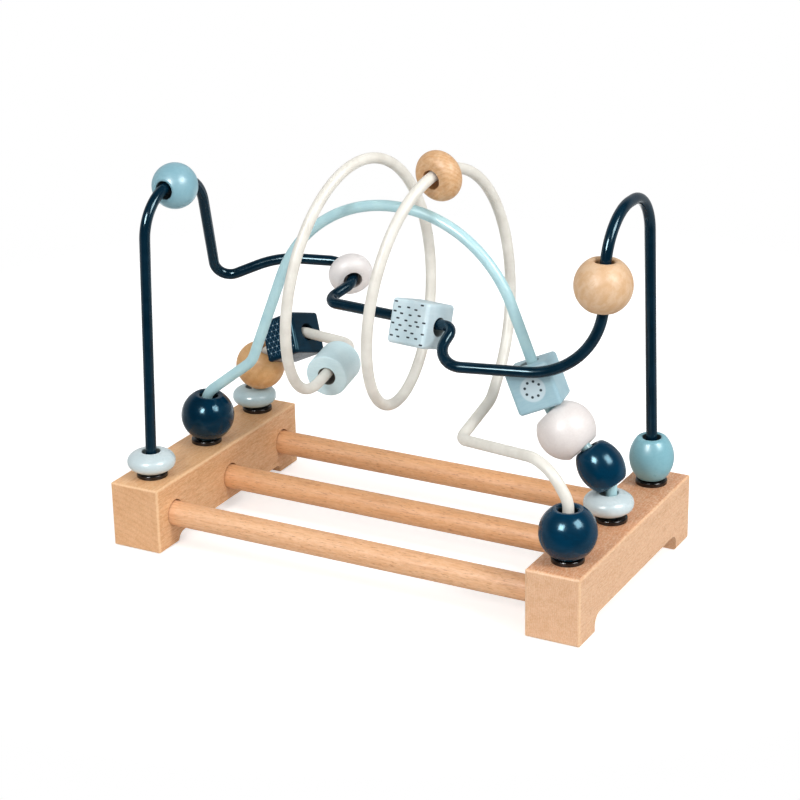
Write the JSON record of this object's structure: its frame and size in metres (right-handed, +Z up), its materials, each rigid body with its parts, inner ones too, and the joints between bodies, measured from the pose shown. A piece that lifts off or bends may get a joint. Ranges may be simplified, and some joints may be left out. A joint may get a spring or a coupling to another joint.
{
  "type": "bead maze",
  "caption": "Bead maze toy: wooden balls, discs, rings and cubes threaded on bent coated wires, one of them wound into a spiral, between beech end blocks joined by dowels.",
  "frame": {"origin": "on the floor, under the middle of the base", "axes": "+X along the toy to the right, +Y from its front to its back, +Z up"},
  "size_m": [0.285, 0.15, 0.228],
  "materials": {
    "beech": "satin lacquer",
    "dowel_wood": "satin lacquer",
    "navy_coat": "gloss",
    "sky_coat": "gloss",
    "cream_coat": "gloss",
    "collar_black": "gloss",
    "pale_paint": "gloss paint",
    "light_blue_paint": "gloss paint",
    "white_paint": "gloss paint",
    "dash_print": "satin paint with a dark print",
    "maple": "satin lacquer",
    "mid_blue_paint": "gloss paint",
    "navy_paint": "gloss paint",
    "dot_print": "satin paint with a print",
    "grey_blue_paint": "gloss paint",
    "dark_wood": "satin lacquer",
    "line_print": "satin paint with a pale print"
  },
  "bodies": {
    "base": {"left_block": "beech", "right_block": "beech", "front_dowel": "dowel_wood", "middle_dowel": "dowel_wood", "back_dowel": "dowel_wood", "navy_wire": "navy_coat", "sky_wire": "sky_coat", "cream_wire": "cream_coat", "left_front_collar": "collar_black", "left_middle_collar": "collar_black", "left_back_collar": "collar_black", "right_front_collar": "collar_black", "right_middle_collar": "collar_black", "right_back_collar": "collar_black"},
    "left_front_disc": {"left_front_disc": "pale_paint"},
    "arch_ball": {"arch_ball": "light_blue_paint"},
    "white_ring": {"white_ring": "white_paint"},
    "dash_cube": {"dash_cube": "dash_print"},
    "right_ball": {"right_ball": "maple"},
    "right_back_barrel": {"right_back_barrel": "mid_blue_paint"},
    "left_middle_ball": {"left_middle_ball": "navy_paint"},
    "print_cube": {"print_cube": "dot_print"},
    "white_ball": {"white_ball": "white_paint"},
    "navy_barrel": {"navy_barrel": "navy_paint"},
    "right_middle_disc": {"right_middle_disc": "pale_paint"},
    "left_back_disc": {"left_back_disc": "grey_blue_paint"},
    "left_back_ball": {"left_back_ball": "dark_wood"},
    "dark_cube": {"dark_cube": "line_print"},
    "pale_roll": {"pale_roll": "pale_paint"},
    "spiral_ring": {"spiral_ring": "maple"},
    "right_front_ball": {"right_front_ball": "navy_paint"}
  },
  "joints": [
    {"name": "left_front_disc_slide", "type": "slide", "parent": "base", "child": "left_front_disc", "axis": [0.0194, 0.0217, 0.9996], "range_m": [0, 0.11]},
    {"name": "arch_ball_spin", "type": "hinge", "parent": "base", "child": "arch_ball", "pos_m": [-0.12347, -0.02323, 0.1974], "axis": [0.0166, 0.9999, 0.0001], "continuous": true},
    {"name": "white_ring_spin", "type": "hinge", "parent": "base", "child": "white_ring", "pos_m": [-0.04884, 0.03659, 0.13974], "axis": [0.6246, -0.7092, -0.3269], "continuous": true},
    {"name": "dash_cube_slide", "type": "slide", "parent": "base", "child": "dash_cube", "axis": [0.9875, -0.1559, 0.0238], "range_m": [-0.038, 0.003]},
    {"name": "right_ball_spin", "type": "hinge", "parent": "base", "child": "right_ball", "pos_m": [0.1259, -0.01295, 0.17217], "axis": [0.0358, 0.0134, 0.9993], "continuous": true},
    {"name": "right_back_barrel_slide", "type": "slide", "parent": "base", "child": "right_back_barrel", "axis": [0, -0.0774, 0.997], "range_m": [0, 0.11]},
    {"name": "left_middle_ball_spin", "type": "hinge", "parent": "base", "child": "left_middle_ball", "pos_m": [-0.1253, 0, 0.0547], "axis": [0.1081, 0, 0.9941], "continuous": true},
    {"name": "print_cube_slide", "type": "slide", "parent": "base", "child": "print_cube", "axis": [-0.3792, 0, 0.9253], "range_m": [0, 0.032]},
    {"name": "white_ball_spin", "type": "hinge", "parent": "base", "child": "white_ball", "pos_m": [0.10062, 0, 0.0844], "axis": [-0.7534, 0, 0.6576], "continuous": true},
    {"name": "navy_barrel_spin", "type": "hinge", "parent": "base", "child": "navy_barrel", "pos_m": [0.12065, 0, 0.06746], "axis": [-0.6074, 0, 0.7944], "continuous": true},
    {"name": "right_middle_disc_spin", "type": "hinge", "parent": "base", "child": "right_middle_disc", "pos_m": [0.1254, 0, 0.04757], "axis": [0, 0, 1], "continuous": true},
    {"name": "left_back_disc_spin", "type": "hinge", "parent": "base", "child": "left_back_disc", "pos_m": [-0.1286, 0.056, 0.04677], "axis": [0, 0, 1], "continuous": true},
    {"name": "left_back_ball_spin", "type": "hinge", "parent": "base", "child": "left_back_ball", "pos_m": [-0.12335, 0.05588, 0.06705], "axis": [0.416, -0.0134, 0.9093], "continuous": true},
    {"name": "dark_cube_spin", "type": "hinge", "parent": "base", "child": "dark_cube", "pos_m": [-0.09964, 0.05487, 0.08826], "axis": [0.8949, -0.0665, 0.4413], "continuous": true},
    {"name": "pale_roll_slide", "type": "slide", "parent": "base", "child": "pale_roll", "axis": [0.1307, -0.9868, -0.0954], "range_m": [-0.008, 0.005]},
    {"name": "spiral_ring_ride", "type": "hinge", "parent": "base", "child": "spiral_ring", "pos_m": [0.02653, 0.00664, 0.16693], "axis": [0.972, -0.235, 0.0006], "range_deg": [-38, 38]},
    {"name": "right_front_ball_spin", "type": "hinge", "parent": "base", "child": "right_front_ball", "pos_m": [0.127, -0.056, 0.05388], "axis": [-0.001, 0, 1], "continuous": true}
  ]
}
